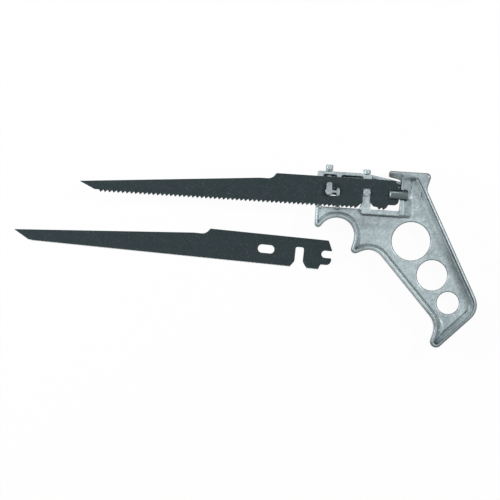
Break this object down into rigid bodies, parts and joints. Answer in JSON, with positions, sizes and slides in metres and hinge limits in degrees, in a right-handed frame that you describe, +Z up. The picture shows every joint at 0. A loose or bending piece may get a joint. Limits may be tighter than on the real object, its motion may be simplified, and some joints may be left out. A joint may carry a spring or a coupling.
{
  "type": "keyhole saw",
  "caption": "Pistol-grip keyhole saw with an open ribbed cast handle, a hooked-on coarse blade locked by a sliding pin, and a loose fine-toothed spare blade.",
  "frame": {"origin": "centre of the bounding box's bottom face: the saw and its spare blade lie on the floor", "axes": "+X along the mounted blade from its point to the grip, +Y towards the blade's back, +Z up out of the side that carries the blade"},
  "size_m": [0.3718, 0.14, 0.022],
  "materials": {
    "cast_aluminium": "as cast, bare",
    "stud_metal": "as cast, bare",
    "pin_steel": "turned",
    "bright_steel": "polished",
    "spring_steel": "drawn wire",
    "screw_steel": "turned",
    "coarse_blade_steel": "blued, dull",
    "fine_blade_steel": "blued, dull"
  },
  "bodies": {
    "saw": {"handle_casting": "cast_aluminium", "side_hook": "stud_metal", "side_stud": "stud_metal", "top_hook": "stud_metal", "top_stud": "stud_metal", "latch_ball": "bright_steel", "latch_spring": "spring_steel", "latch_screw": "screw_steel", "wood_blade": "coarse_blade_steel"},
    "latch": {"latch_pin": "pin_steel"},
    "spare": {"metal_blade": "fine_blade_steel"}
  },
  "joints": [
    {"name": "latch_slide", "type": "slide", "parent": "saw", "child": "latch", "axis": [1, 0, 0], "range_m": [0, 0.0084]},
    {"name": "spare_lift", "type": "slide", "parent": "saw", "child": "spare", "axis": [0, 0, 1], "range_m": [0, 0.12]}
  ]
}
